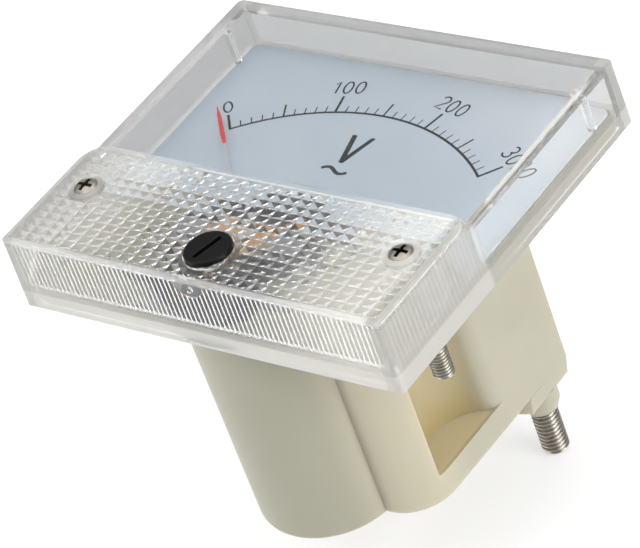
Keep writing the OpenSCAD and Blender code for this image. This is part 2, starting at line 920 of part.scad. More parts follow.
module pocket_cut(inset) {
  dx = pocket_x - body_half + pocket_lip_r;
  lip_y = pocket_y + sqrt(pow(pocket_r + pocket_lip_r, 2) - pow(dx, 2));
  lip = [body_half - pocket_lip_r, lip_y];
  hub = [pocket_x, pocket_y];
  touch = hub + (lip - hub) * pocket_r / (pocket_r + pocket_lip_r);
  far = body_half + 1;
  translate(hub) circle(pocket_r + inset);
  if (inset == 0)
    difference() {
      polygon([lip, [body_half, lip_y], [far, lip_y], [far, pocket_y], hub, touch]);
      translate(lip) circle(pocket_lip_r);
    }
}

module body_plan(inset) {
  difference() {
    rounded(body_half - inset, body_low + inset, body_high - inset, lobe_r - inset, max(top_r - inset, 0.2));
    pocket_cut(inset);
    mirror([1, 0]) pocket_cut(inset);
  }
}

module puck(r, z1, fillet) {
  turn = [for (a = [-90 : 15 : 0]) [r - fillet + fillet * cos(a), fillet + fillet * sin(a)]];
  translate([0, 0, -body_depth])
    rotate_extrude($fn = round_fn) polygon(concat([[0, 0]], turn, [[r, z1], [0, z1]]));
}

module rear_plate() {
  hull()
    for (side = [-1, 1]) {
      translate([side * (body_half - lobe_r), body_low + lobe_r, 0])
        puck(lobe_r, rear_plate_t, rear_fillet);
      translate([side * (body_half - top_r), body_high - top_r, 0]) puck(top_r, rear_plate_t, top_fillet);
    }
}

module barrel() {
  turn = [for (a = [-90 : 15 : 0])
          [barrel_r - rear_fillet + rear_fillet * cos(a), rear_fillet + rear_fillet * sin(a)]];
  translate([0, pivot_y, -body_depth])
    rotate_extrude() polygon(concat([[0, 0]], turn, [[barrel_r, body_depth], [0, body_depth]]));
}

module pad_limit(inset) {
  rounded(body_half - inset, body_low, body_high - inset, top_r, top_r);
}

module terminal_boss() {
  intersection() {
    at_sides(terminal_x, terminal_y) rod(pad_r, pad_z, top_fillet - body_depth);
    hull() {
      slice(pad_z) pad_limit(pad_inset);
      slice(top_fillet - body_depth) pad_limit(0);
    }
  }
  at_sides(terminal_x, terminal_y) {
    rod(outer_boss_r, pad_z - boss_l, pad_z + eps);
    cone(cone_r, outer_boss_r, boss_end, pad_z - boss_l + eps);
  }
}

module body_cavity() {
  translate([0, 0, floor_z])
    linear_extrude(flange_t - floor_z + 1)
      difference() {
        union() {
          body_plan(body_wall);
          translate([0, pivot_y]) circle(barrel_r - body_wall);
        }
        at_sides(lug_x, pivot_y) circle(lug_r);
      }
}

module housing() {
  color(IVORY)
    difference() {
      union() {
        difference() {
          union() {
            linear_extrude(flange_t) rounded(flange_x, flange_low, flange_high, 1, 1);
            translate([0, 0, plate_front - eps]) linear_extrude(eps - plate_front + eps) body_plan(0);
            barrel();
            rear_plate();
            terminal_boss();
          }
          body_cavity();
        }
        intersection() {
          at_sides(terminal_x, terminal_y) rod(inner_boss_r, floor_z - eps, board_z);
          translate([0, 0, floor_z - 1])
            linear_extrude(board_z - floor_z + 2)
              translate([-body_half + body_wall - eps, body_low])
                square([2 * (body_half - body_wall + eps), body_h - body_wall + eps]);
        }
      }
      translate([0, pivot_y, frame_z]) linear_extrude(flange_t) lug_plan(seat_gap);
      at_sides(lug_x, pivot_y) rod(lug_screw_r + press, frame_top - lug_screw_l - 0.5, flange_t);
      at_sides(stud_x, 0) {
        rod(neck_r + press, -1, flange_t + 1);
        rod(stud_r + slip, -1, seat_relief);
        rod(collar_r + press, flange_t - collar_t, flange_t + 1);
      }
      at_sides(dial_screw_x, dial_screw_y)
        rod(dial_screw_r + press, dial_z - dial_screw_l - 0.1, flange_t + 1);
      at_sides(terminal_x, terminal_y) {
        rod(neck2_r + press, terminal_end, board_z);
        rod(collar2_r + press, collar2_z, board_z + 1);
      }
    }
}

module terminal_studs() {
  color(STEEL)
    at_sides(terminal_x, terminal_y) {
      cone(terminal_r - nose_r, terminal_r, terminal_end, terminal_end + nose_r);
      rod(terminal_r, terminal_end + nose_r, boss_end);
      rod(neck2_r, boss_end - eps, collar2_z + eps);
      rod(collar2_r, collar2_z, board_z - 1);
      rod(pin2_r, board_z - 1 - eps, board_front + 0.8);
    }
}

// circuit

module circuit_board() {
  color(GREEN)
    difference() {
      block(-board_x, board_x, board_low, board_high, board_z, board_front);
      at_sides(terminal_x, terminal_y) rod(pin2_r + press, board_z - 1, board_front + 1);
    }
}

// axial component lying along X with its two legs bent down to the board
module axial(body_r, body_l, leg_r, span) {
  axis_z = board_front + body_r + part_lift;
  translate([-body_l / 2, 0, axis_z]) rotate([0, 90, 0]) cylinder(r = body_r, h = body_l);
  translate([-span / 2, 0, axis_z]) rotate([0, 90, 0]) cylinder(r = leg_r, h = span, $fn = 16);
  at_sides(span / 2, 0) {
    translate([0, 0, board_front]) cylinder(r = leg_r, h = axis_z - board_front, $fn = 16);
    translate([0, 0, axis_z]) sphere(r = leg_r, $fn = 16);
  }
}

module rectifier_diodes() {
  color(BLACK)
    for (place = [-1.5, -0.5, 0.5, 1.5])
      translate([place * diode_pitch, diode_y, 0]) axial(diode_r, diode_l, diode_leg_r, diode_span);
}

module series_resistor() {
  color(BLUE)
    translate([0, terminal_y, 0]) axial(resistor_r, resistor_l, resistor_leg_r, resistor_span);
}

module bridge_lead() {
  path = [[-lead_x, board_low + 1, board_front], [-lead_x, board_low + 0.8, board_front + 3.5],
          [-lead_x, board_low - 3, board_front + 7], [-lead_x, pivot_y + 10, rear_strap_z - 5],
          [-strap_half - 1.2, pivot_y + 3, rear_strap_z - 1.6], [-strap_half - 1, pivot_y, rear_strap_z - strap_t / 2],
          [-strap_half - running, pivot_y, rear_strap_z - strap_t / 2]];
  color(RED) wire(smooth(path, 6), lead_r);
}

module frame_lead() {
  turn = 50;
  end = [pillar_x * cos(turn), pivot_y + pillar_x * sin(turn), yoke_rear];
  path = [[lead_x, board_low + 1, board_front], [lead_x, board_low + 0.8, board_front + 3.5],
          [lead_x - 0.5, board_low - 3, board_front + 7], [7.4, pivot_y + 10, rear_strap_z - 3],
          end + [0.3, 1, -3], end + [0, 0, -1.2], end];
  color(DARK) wire(smooth(path, 6), lead_r);
}

housing();
front_cover();
cover_screws();
mounting_studs();
terminal_studs();
zero_adjuster();
adjuster_clip();
zero_lever();
dial_plate();
dial_screws();
pointer();
balance_weights();
pivots();
coil_former();
coil_winding();
front_hairspring();
rear_hairspring();
core_magnet();
yoke_ring();
movement_frame();
front_bridge();
rear_bridge();
front_jewel_screw();
rear_jewel_screw();
jewel_lock_nuts();
rear_bridge_screws();
movement_screws();
circuit_board();
rectifier_diodes();
series_resistor();
bridge_lead();
frame_lead();
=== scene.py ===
"""Looks of the analogue panel voltmeter: clear cover, printed dial, ivory base, threaded studs."""

import json
import math

import bmesh
import bpy
from mathutils import Matrix, Vector

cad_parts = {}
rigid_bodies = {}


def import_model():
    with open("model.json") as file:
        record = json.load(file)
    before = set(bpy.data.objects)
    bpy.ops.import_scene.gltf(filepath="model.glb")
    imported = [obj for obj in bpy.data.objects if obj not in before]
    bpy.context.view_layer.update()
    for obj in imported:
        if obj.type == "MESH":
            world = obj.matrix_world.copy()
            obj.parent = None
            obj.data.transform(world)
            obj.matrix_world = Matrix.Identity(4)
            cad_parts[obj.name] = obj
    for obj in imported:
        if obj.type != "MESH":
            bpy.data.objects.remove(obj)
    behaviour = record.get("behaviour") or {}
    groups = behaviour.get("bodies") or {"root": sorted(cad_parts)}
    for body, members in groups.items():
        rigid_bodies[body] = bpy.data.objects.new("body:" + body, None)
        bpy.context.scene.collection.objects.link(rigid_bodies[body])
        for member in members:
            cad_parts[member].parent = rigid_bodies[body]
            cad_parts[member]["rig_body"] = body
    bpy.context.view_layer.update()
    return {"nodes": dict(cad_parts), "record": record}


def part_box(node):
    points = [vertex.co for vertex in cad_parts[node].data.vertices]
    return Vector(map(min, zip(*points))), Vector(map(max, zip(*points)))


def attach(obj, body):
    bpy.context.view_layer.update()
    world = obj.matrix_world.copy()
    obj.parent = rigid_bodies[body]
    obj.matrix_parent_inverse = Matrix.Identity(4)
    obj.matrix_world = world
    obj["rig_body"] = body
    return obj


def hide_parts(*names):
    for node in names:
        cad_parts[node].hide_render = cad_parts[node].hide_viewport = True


MM = 0.001
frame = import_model()
nodes = frame["nodes"]
scene = bpy.context.scene


def node_slot(name):
    for row in frame["record"]["subparts"]:
        if row["node"] == name:
            return row["material_slot"]


def node_body(name):
    return nodes[name]["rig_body"]


def corners(node):
    """Lowest and highest corner of a node, in millimetres."""
    low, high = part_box(node)
    return low / MM, high / MM


def centre_of(node, side):
    """Axis of a pair's member on one side, in millimetres."""
    low, high = corners(node)
    half = min(high.y - low.y, high.x - low.x) / 2
    x = high.x - half if side > 0 else low.x + half
    return x, (low.y + high.y) / 2


# Places on the part, in millimetres

PIVOT_Y = centre_of("pivots", 1)[1]
BLOCK_DEPTH = 21.5
FLUTE_PITCH = 0.81
SIDE_WALL = 2.1
BACK_WALL = 2.2
FRONT_WALL = 2.0
FRONT_RIM = 1.05
SIDE_RIM = 1.15
SKIRT_H = 2.7
SEAT_R = 2.65
POCKET_X = 18.9
POCKET_Y = 7.8
POCKET_R = 7.3
POCKET_FLOOR = -31.0
FLANGE_UNDER = -0.4
BARREL_R = 11.7
RED_FROM = 26.9
WIRE_PITCH = 0.10472


# Shader values


class Term:
    """One value in a material's node tree. Arithmetic on terms adds Math nodes."""

    def __init__(self, tree, socket=None):
        self.tree = tree
        self.socket = socket

    def make(self, kind, settings=None, sockets=None, out=0):
        """A node of this kind with its settings and sockets filled in, as the term of its output."""
        node = self.tree.nodes.new(kind)
        for key, value in (settings or {}).items():
            setattr(node, key, value)
        for key, value in (sockets or {}).items():
            if isinstance(value, Term):
                self.tree.links.new(value.socket, node.inputs[key])
            else:
                node.inputs[key].default_value = value
        return Term(self.tree, node.outputs[out])

    def math(self, operation, *values):
        sockets = dict(enumerate((self, *values)))
        return self.make("ShaderNodeMath", {"operation": operation}, sockets)

    def __add__(self, other):
        return self.math("ADD", other)

    def __sub__(self, other):
        return self.math("SUBTRACT", other)

    def __rsub__(self, other):
        return (self * -1.0) + other

    def __mul__(self, other):
        return self.math("MULTIPLY", other)

    def __truediv__(self, other):
        return self.math("DIVIDE", other)

    def __rtruediv__(self, other):
        return (self ** -1.0) * other

    def __pow__(self, other):
        return self.math("POWER", other)

    def __abs__(self):
        return self.math("ABSOLUTE")

    __radd__ = __add__
    __rmul__ = __mul__

    def step(self, low, high):
        """0 below low, 1 above high, smooth between them."""
        settings = {"interpolation_type": "SMOOTHSTEP"}
        sockets = {"Value": self, "From Min": low, "From Max": high}
        return self.make("ShaderNodeMapRange", settings, sockets)

    def past(self, edge, soft=0.2):
        """0 before an edge and 1 past it, with a soft border to each side."""
        return self.step(edge - soft, edge + soft)

    def ridges(self, pitch):
        """Even waves from 0 to 1, one for each pitch."""
        return (self * (2 * math.pi / pitch)).math("SINE") * 0.5 + 0.5

    def blend(self, first, second):
        """Colour between two colours by this term."""
        sockets = {0: self, 6: rgba(first), 7: rgba(second)}
        return self.make("ShaderNodeMix", {"data_type": "RGBA"}, sockets, 2)


def rgba(colour):
    return colour if isinstance(colour, Term) else (*colour, 1.0)


def distance(across, along):
    """Length of the way that two terms make at a right angle."""
    return (across * across + along * along) ** 0.5


class Paint:
    """A Principled material under construction, with places in the part's frame in millimetres."""

    def __init__(self, name):
        self.material = bpy.data.materials.new(name)
        self.material.use_nodes = True
        self.tree = self.material.node_tree
        self.shader = self.tree.nodes["Principled BSDF"]
        self.term = Term(self.tree)
        self.place = self.term.make("ShaderNodeTexCoord", out="Object")

    def axis(self, letter):
        """One coordinate of the place on the surface."""
        return self.term.make("ShaderNodeSeparateXYZ", None, {"Vector": self.place}, letter) / MM

    def noise(self, size):
        """Noise from 0 to 1 with features of this size in millimetres."""
        scale = [1 / (size * MM)] * 3
        settings = {"operation": "MULTIPLY"}
        at = self.term.make("ShaderNodeVectorMath", settings, {0: self.place, 1: scale})
        return self.term.make("ShaderNodeTexNoise", None, {"Vector": at, "Scale": 1.0, "Detail": 2.0})

    def bump(self, height, strength, depth=0.05):
        sockets = {"Height": height, "Strength": strength, "Distance": depth * MM}
        return self.term.make("ShaderNodeBump", None, sockets)

    def set(self, **values):
        for key, value in values.items():
            socket = self.shader.inputs[key.replace("_", " ")]
            if isinstance(value, Term):
                self.tree.links.new(value.socket, socket)
            else:
                socket.default_value = value

    def mix(self, share, second):
        """Shows a second shader in the given share of the first."""
        first = Term(self.tree, self.shader.outputs["BSDF"])
        both = self.term.make("ShaderNodeMixShader", None, {0: share, 1: first, 2: second})
        self.tree.links.new(both.socket, self.tree.nodes["Material Output"].inputs["Surface"])


# Materials


def plain(name, colour, rough, metallic=0.0, size=2.0, vary=0.12):
    """A surface with slight unevenness of colour and roughness."""
    paint = Paint(name)
    grain = paint.noise(size)
    darker = [c * (1 - vary) for c in colour]
    lighter = [min(1.0, c * (1 + vary)) for c in colour]
    paint.set(Base_Color=grain.step(0.3, 0.7).blend(darker, lighter), Metallic=metallic)
    paint.set(Roughness=grain * 0.1 + (rough - 0.05))
    return paint.material


def clear_plastic():
    """Clear styrene: a bright window, milky in the walls, rims and ends of the prism block, with painted
    glow in the milk and painted shade on the walls.
    """
    paint = Paint("clear_plastic")
    x, y, z = map(paint.axis, "XYZ")
    low, high = corners("front_cover")

    # Parts of the cover, each as a mask
    block = 1.0 - y.past(low.y + BLOCK_DEPTH, 0.5)
    ends = abs(x).step(8.0, 27.0) * block
    skirt = 1.0 - z.past(SKIRT_H, 0.3)
    wall = 1.0 - skirt
    outer = abs(x).past(high.x - SIDE_WALL)
    right = x.past(high.x - SIDE_WALL)
    left = (outer - right) * (1.0 - block) * wall
    back = y.past(high.y - BACK_WALL)
    far = left + back - left * back
    front = 1.0 - y.past(low.y + FRONT_WALL, 0.5)
    gable = outer * block * (1.0 - z.past(high.z - 0.9, 0.3))
    field = y.past(low.y + FRONT_RIM, 0.15) * (1.0 - abs(x).past(high.x - SIDE_RIM, 0.15))
    # painted highlight: more glowing milk along the block's top rim
    rim_highlight = (1.0 - field) * block * z.past(high.z - 0.55, 0.15)
    # painted shade: the block's left end is made greyer
    shaded_end = (1.0 - x.step(-30.0, -18.0)) * block * (1.0 - front)
    screw_x, screw_y = centre_of("cover_screws", 1)
    seat = 1.0 - distance(abs(x) - screw_x, y - screw_y).past(SEAT_R, 0.15)

    # The clear plastic itself
    haze = paint.noise(9.0)
    window = haze.step(0.3, 0.7).blend((0.86, 0.868, 0.872), (0.88, 0.888, 0.892))
    # painted shade: the tint is darker at the block's left end
    tint = shaded_end.blend((0.97, 0.967, 0.955), (0.89, 0.888, 0.878))
    sight = (1.0 - ends) * (1.0 - right) * wall
    paint.set(Base_Color=sight.blend(tint, window), Roughness=haze * 0.03 + 0.01)
    paint.set(Transmission_Weight=1.0, IOR=1.49)

    # The milk in it, whitest on the block's top. Its colour is painted shade, greyer on the upright
    # walls, the front wall and the block's left end; its emission is painted glow, dimmer in the same
    # places.
    upright = far + right * (1.0 - far)
    # painted shade on the front wall, less towards its right end
    front_shade = front * (1.0 - x.step(8.0, 26.0) * wall * 0.55)
    # painted shade: where the milk is greyer
    milk_shade = upright + (front_shade * 0.4 + shaded_end * 0.6) * (1.0 - upright)
    # painted glow: where the milk's glow is dimmer
    dimmed_glow = upright + (front_shade + shaded_end * 0.7) * (1.0 - upright)
    shade = milk_shade.blend((0.95, 0.94, 0.90), (0.45, 0.455, 0.46))
    # painted shade: the milk is dark grey on the left wall and a warm mid tone on the end walls
    shaded_sides = left.blend(outer.blend(shade, (0.52, 0.51, 0.475)), (0.39, 0.39, 0.392))
    # painted shade: dark lines along the flutes of the block's end walls
    painted_flute_lines = y.ridges(FLUTE_PITCH) * gable * wall * 0.25
    milk_shade_and_glow = {
        "Base Color": painted_flute_lines.blend(shaded_sides, (0.25, 0.25, 0.25)),
        "Emission Color": dimmed_glow.blend((1.0, 0.985, 0.94), (0.22, 0.22, 0.21)),
        "Emission Strength": 0.25,
        "Roughness": 0.4,
        "Transmission Weight": 0.35,
        "IOR": 1.49,
    }
    # the milk's emission is painted glow
    cloudy_glow = paint.term.make("ShaderNodeBsdfPrincipled", None, milk_shade_and_glow)
    # more milk gives more painted glow, most on the rim and the skirt
    share = ends * 0.195 + block * 0.035 + gable * 0.19 + rim_highlight * 0.3 + seat * 0.08
    share += far * 0.34 + left * 0.2 + right * 0.08
    share += skirt * 0.3 + skirt * front * (1.0 - ends) * 0.22
    paint.mix(share + 0.003, cloudy_glow)
    return paint.material


def ivory_moulding():
    """Ivory plastic with painted light and shade: warmer painted shade inside the two side pockets,
    darker painted shade on the barrel, painted light on the pocket floors and the lobes.
    """
    paint = Paint("ivory_moulding")
    x, y, z = map(paint.axis, "XYZ")

    # Parts of the housing, each as a mask
    across = abs(x) - POCKET_X
    reach = distance(across, y - POCKET_Y)
    # painted shade inside the two side pockets
    pocket_shade = (1.0 - across.step(-5.0, -1.2)) * (1.0 - reach.past(POCKET_R, 0.3))
    pocket_shade *= 1.0 - z.past(FLANGE_UNDER)
    # painted light on the pocket floors
    lit_pocket_floor = z.past(POCKET_FLOOR - 0.5, 0.3) * (1.0 - z.past(POCKET_FLOOR + 0.085, 0.065))
    lit_pocket_floor *= (1.0 - reach.past(POCKET_R - 0.4, 0.3)) * (1.0 - across.past(-1.5, 0.4))
    # painted shade on the barrel, weaker on its part towards the crease
    barrel_shade = 1.0 - distance(x, y - PIVOT_Y).past(BARREL_R, 0.9)
    crease = y.step(-8.0, -3.5)
    # painted light on the lobes
    lit_lobes = 1.0 - y.step(0.0, 9.0)

    cloud = paint.noise(14.0).step(0.3, 0.7).blend((0.345, 0.328, 0.257), (0.373, 0.356, 0.28))
    body = (lit_lobes * 0.9).blend(cloud, (0.44, 0.405, 0.307))
    shaded = (barrel_shade * (0.95 - crease * 0.5)).blend(body, (0.295, 0.287, 0.222))
    rise = z.step(POCKET_FLOOR, POCKET_FLOOR + 7.0)
    # painted shade colour, warm, darkest at the pocket floor
    pocket_shade_colour = rise.blend((0.37, 0.295, 0.143), (0.38, 0.318, 0.185))
    paint.set(Base_Color=lit_pocket_floor.blend(pocket_shade.blend(shaded, pocket_shade_colour), (0.60, 0.535, 0.36)))
    paint.set(Roughness=paint.noise(3.0) * 0.12 + 0.33, IOR=1.5)
    paint.set(Subsurface_Weight=0.6, Subsurface_Radius=(1.0, 0.75, 0.4), Subsurface_Scale=2.5 * MM)
    paint.set(Normal=paint.bump(paint.noise(0.5), 0.06, 0.02))
    return paint.material


def bridge_metal():
    """Grey alloy with a copper-coloured middle round the pivot."""
    paint = Paint("bridge_metal")
    x, y = map(paint.axis, "XY")
    alloy = paint.noise(1.2).blend((0.27, 0.27, 0.28), (0.36, 0.36, 0.37))
    copper = paint.noise(0.9).blend((0.68, 0.38, 0.19), (0.78, 0.46, 0.24))
    outside = distance(x, y - PIVOT_Y).step(4.0, 6.0)
    paint.set(Base_Color=outside.blend(copper, alloy), Metallic=0.8)
    paint.set(Roughness=paint.noise(1.0) * 0.1 + 0.37)
    return paint.material


def dial_paint():
    """Pale blue enamel, with painted light towards its far right corner."""
    paint = Paint("dial_paint")
    x, y = map(paint.axis, "XY")
    speck = paint.noise(6.0).step(0.2, 0.8).blend((0.69, 0.79, 0.885), (0.72, 0.815, 0.905))
    # painted light towards the dial's far right corner
    corner_light = y.step(18.0, 40.0) * x.step(-10.0, 28.0)
    paint.set(Base_Color=corner_light.blend(speck, (0.86, 0.92, 0.98)))
    paint.set(Roughness=paint.noise(1.0) * 0.1 + 0.5)
    return paint.material


def pointer_paint():
    """Red lacquer at the far end of the pointer, bare pale metal near the hub."""
    paint = Paint("pointer_paint")
    x, y = map(paint.axis, "XY")
    red = distance(x, y - PIVOT_Y).past(RED_FROM, 0.1)
    bare = paint.noise(1.0).blend((0.66, 0.70, 0.74), (0.74, 0.78, 0.82))
    paint.set(Base_Color=red.blend(bare, (0.95, 0.06, 0.05)))
    paint.set(Roughness=paint.noise(0.6) * 0.1 + 0.4)
    return paint.material


def black_moulding():
    """Black plastic with a dull sheen."""
    paint = Paint("black_moulding")
    grain = paint.noise(1.0)
    paint.set(Base_Color=grain.blend((0.003, 0.003, 0.0033), (0.006, 0.006, 0.0064)))
    paint.set(Roughness=grain * 0.1 + 0.27, Specular_IOR_Level=0.11)
    paint.set(Normal=paint.bump(paint.noise(0.25), 0.05))
    return paint.material


def wound_copper():
    """Fine enamelled wire, shown as ridges along the coil."""
    paint = Paint("wound_copper")
    wires = paint.axis("Z").ridges(WIRE_PITCH)
    paint.set(Base_Color=wires.blend((0.50, 0.19, 0.06), (0.80, 0.36, 0.13)), Metallic=0.8)
    paint.set(Roughness=paint.noise(0.5) * 0.15 + 0.3)
    return paint.material


def white_paper():
    """Backdrop paper, lit from behind."""
    paint = Paint("white_floor")
    paint.set(Base_Color=paint.noise(60.0).blend((0.49, 0.49, 0.49), (0.51, 0.51, 0.51)))
    paint.set(Roughness=0.8, Emission_Color=(1.0, 1.0, 1.0, 1.0), Emission_Strength=0.5)
    return paint.material


STUD_STEEL = plain("stud_steel", (0.36, 0.335, 0.30), 0.3, 1.0, size=0.7, vary=0.15)
SCREW_STEEL = plain("screw_steel", (0.29, 0.268, 0.23), 0.33, 1.0, size=0.7, vary=0.15)
INK = plain("printing_ink", (0.006, 0.008, 0.012), 0.7, size=1.0)
finishes = {
    "base_moulding": ivory_moulding(),
    "clear_cover": clear_plastic(),
    "plated_steel": plain("nickel_plate", (0.62, 0.61, 0.59), 0.28, 1.0, size=0.8, vary=0.1),
    "black_plastic": black_moulding(),
    "brass_parts": plain("brass", (0.70, 0.50, 0.29), 0.32, 1.0, size=0.9),
    "spring_bronze": plain("spring_bronze", (0.70, 0.42, 0.18), 0.3, 1.0, size=0.6),
    "dial_paint": dial_paint(),
    "pointer_paint": pointer_paint(),
    "alloy": plain("pale_alloy", (0.70, 0.71, 0.72), 0.4, 1.0, size=1.2),
    "enamelled_copper": wound_copper(),
    "magnet": plain("ground_magnet", (0.04, 0.04, 0.044), 0.45, 0.3, size=1.0),
    "soft_iron": plain("blued_iron", (0.07, 0.07, 0.075), 0.45, 0.7, size=1.5),
    "board": plain("laminate", (0.05, 0.16, 0.08), 0.4),
    "component_black": plain("epoxy_black", (0.015, 0.015, 0.017), 0.35, size=0.8, vary=0.3),
    "component_blue": plain("blue_lacquer", (0.10, 0.30, 0.45), 0.3, size=1.0),
    "red_sleeve": plain("red_sleeve", (0.35, 0.02, 0.015), 0.45, size=1.0),
    "dark_sleeve": plain("dark_sleeve", (0.02, 0.02, 0.022), 0.45, size=1.0, vary=0.3),
}


# Pieces


def add_piece(name, mesh, material, body):
    """A new object of the part, riding on one of its bodies."""
    piece = bpy.data.objects.new(name, mesh)
    scene.collection.objects.link(piece)
    mesh.materials.clear()
    mesh.materials.append(material)
    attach(piece, body)
    return piece


def keep_flats(mesh, angle=50):
    """Shades roundings smoothly and leaves flat faces flat: the largest face at a corner rules."""
    limit = math.cos(math.radians(angle))
    faces = [(face.normal.copy(), face.area ** 2) for face in mesh.polygons]
    around = [[] for _ in mesh.vertices]
    for face in mesh.polygons:
        for vert in face.vertices:
            around[vert].append(face.index)
    normals = []
    for face in mesh.polygons:
        own = faces[face.index][0]
        for vert in face.vertices:
            near = [faces[i] for i in around[vert]]
            alike = [normal * weight for normal, weight in near if normal.dot(own) > limit]
            total = sum(alike, Vector())
            normals.append(total.normalized() if total.length > 0 else own)
    mesh.normals_split_custom_set(normals)


def joined_mesh(node):
    """A copy of a CAD node's mesh with its triangles joined into flat faces."""
    weld, flat = 0.002 * MM, math.radians(0.4)
    work = bmesh.new()
    work.from_mesh(nodes[node].data)
    bmesh.ops.remove_doubles(work, verts=work.verts, dist=weld)
    bmesh.ops.dissolve_limit(
        work, angle_limit=flat, verts=work.verts, edges=work.edges, delimit={"NORMAL"}
    )
    mesh = bpy.data.meshes.new(node + "_smooth")
    work.to_mesh(mesh)
    work.free()
    for face in mesh.polygons:
        face.use_smooth = True
    return mesh


def rounded_copy(node, width):
    """A copy of a CAD node with its sharp edges rounded, shown in its place."""
    shape = bpy.data.objects.new(node + "_shape", joined_mesh(node))
    scene.collection.objects.link(shape)
    bevel = shape.modifiers.new("rounding", "BEVEL")
    bevel.width = width * MM
    bevel.segments = 2
    bevel.limit_method = "ANGLE"
    bevel.angle_limit = math.radians(25)
    bpy.context.view_layer.update()
    shaped = shape.evaluated_get(bpy.context.evaluated_depsgraph_get())
    done = bpy.data.meshes.new_from_object(shaped)
    bpy.data.objects.remove(shape)
    keep_flats(done)
    slot = node_slot(node)
    piece = add_piece(node + "_rounded", done, finishes[slot], node_body(node))
    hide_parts(node)
    return piece


# Threaded studs: lengths in millimetres, the depth of thread as a share of its pitch

FINE_PITCH = 0.5
COARSE_PITCH = 0.7
THREAD_NOSE = 0.5
THREAD_DEPTH = 0.58
THREAD_SLOPE = 2.7
THREAD_ROOT = 0.15
ROWS_PER_PITCH = 10
COLUMNS = 36


def plain_rows(*steps):
    """Rows without thread, from pairs of height and radius."""
    return [(height, radius, 0.0) for height, radius in steps]


def threaded_rows(z0, z1, radius, pitch):
    """Rows of a thread from a chamfered end at z0 to z1."""
    count = int((z1 - z0) / pitch * ROWS_PER_PITCH)
    end = radius - THREAD_NOSE
    rows = plain_rows((z0, end - 0.25), (z0, end))
    for i in range(1, count + 1):
        height = z0 + (z1 - z0) * i / count
        room = min(1.0, (height - z0) / THREAD_NOSE)
        rows.append((height, end + THREAD_NOSE * room, THREAD_DEPTH * pitch * room))
    return rows


def turned(rows, at, pitch):
    """Vertices and faces of a turned piece. Each row is a height, a radius and a thread depth."""
    verts, faces = [], []
    for height, radius, depth in rows:
        for k in range(COLUMNS):
            turn = (height / pitch - k / COLUMNS) % 1.0
            crest = min(1.0, max(0.0, THREAD_SLOPE * abs(turn - 0.5) - THREAD_ROOT))
            r = radius - depth + depth * crest
            angle = 2 * math.pi * k / COLUMNS
            x = at[0] + r * math.cos(angle)
            y = at[1] + r * math.sin(angle)
            verts.append((x * MM, y * MM, height * MM))
    for i in range(len(rows) - 1):
        near, far = i * COLUMNS, (i + 1) * COLUMNS
        for k in range(COLUMNS):
            beside = (k + 1) % COLUMNS
            faces.append((near + k, near + beside, far + beside, far + k))
    last = (len(rows) - 1) * COLUMNS
    faces.append(tuple(reversed(range(COLUMNS))))
    faces.append(tuple(last + k for k in range(COLUMNS)))
    return verts, faces


def stud_pair(name, node, rows, pitch):
    """Two like studs as one piece, in place of a CAD node."""
    verts, faces = [], []
    for side in (-1, 1):
        more, quads = turned(rows, centre_of(node, side), pitch)
        faces += [tuple(i + len(verts) for i in face) for face in quads]
        verts += more
    mesh = bpy.data.meshes.new(name)
    mesh.from_pydata(verts, [], faces)
    mesh.update()
    for face in mesh.polygons:
        face.use_smooth = len(face.vertices) == 4
    piece = add_piece(name, mesh, STUD_STEEL, node_body(node))
    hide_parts(node)


def mounting_studs():
    """Fine-threaded studs with a round head and a screw hole at the front."""
    low, high = corners("mounting_studs")
    thread_r, neck_r, head_r, hole_r = 1.5, 1.25, 2.2, 1.02
    under, hole_end = high.z - 1.8, high.z - 5
    rows = threaded_rows(low.z, 0.0, thread_r, FINE_PITCH)
    rows += plain_rows((0.0, neck_r), (under, neck_r), (under, head_r), (high.z, head_r))
    rows += plain_rows((high.z, hole_r), (hole_end, hole_r))
    stud_pair("mounting_studs_threaded", "mounting_studs", rows, FINE_PITCH)


def terminal_studs():
    """Coarser-threaded terminals with a collar and a thin solder pin inside."""
    low, high = corners("terminal_studs")
    thread_r, neck_r, collar_r, pin_r = 2.0, 1.75, 2.5, 0.65
    thread_end, collar, pin = low.z + 7.9, low.z + 11.8, high.z - 3.2
    rows = threaded_rows(low.z, thread_end, thread_r, COARSE_PITCH)
    rows += plain_rows((thread_end, neck_r), (collar, neck_r), (collar, collar_r), (pin, collar_r))
    rows += plain_rows((pin, pin_r), (high.z, pin_r))
    stud_pair("terminal_studs_threaded", "terminal_studs", rows, COARSE_PITCH)


# Dial printing: lengths in millimetres, angles in degrees

ARC_Y = -1.57
ARC_R = 32.3
ARC_W = 0.37
TICK_SINK = 0.17
FULL_SWING = 81.8
FULL_VOLTS = 300
INK_Z = corners("dial_plate")[1].z + 0.012
UNIT_Y = 23.35
UNIT_HALF = 2.85
WAVE_Y = 18.9
DIGIT_H = 2.5
DIGIT_GAP = 0.2
DIGIT_STROKE = 0.28

# Volts between ticks of a kind, their length beyond the arc and their width
TICKS = ((100, 3.5, 0.38), (50, 2.7, 0.28), (10, 1.35, 0.18))

# Each number, its place and its turn
NUMERALS = (
    ("0", (-24.6, 27.0), 40),
    ("100", (-8.75, 35.1), 13),
    ("200", (9.0, 35.0), -13),
    ("300", (24.3, 27.2), -40),
)


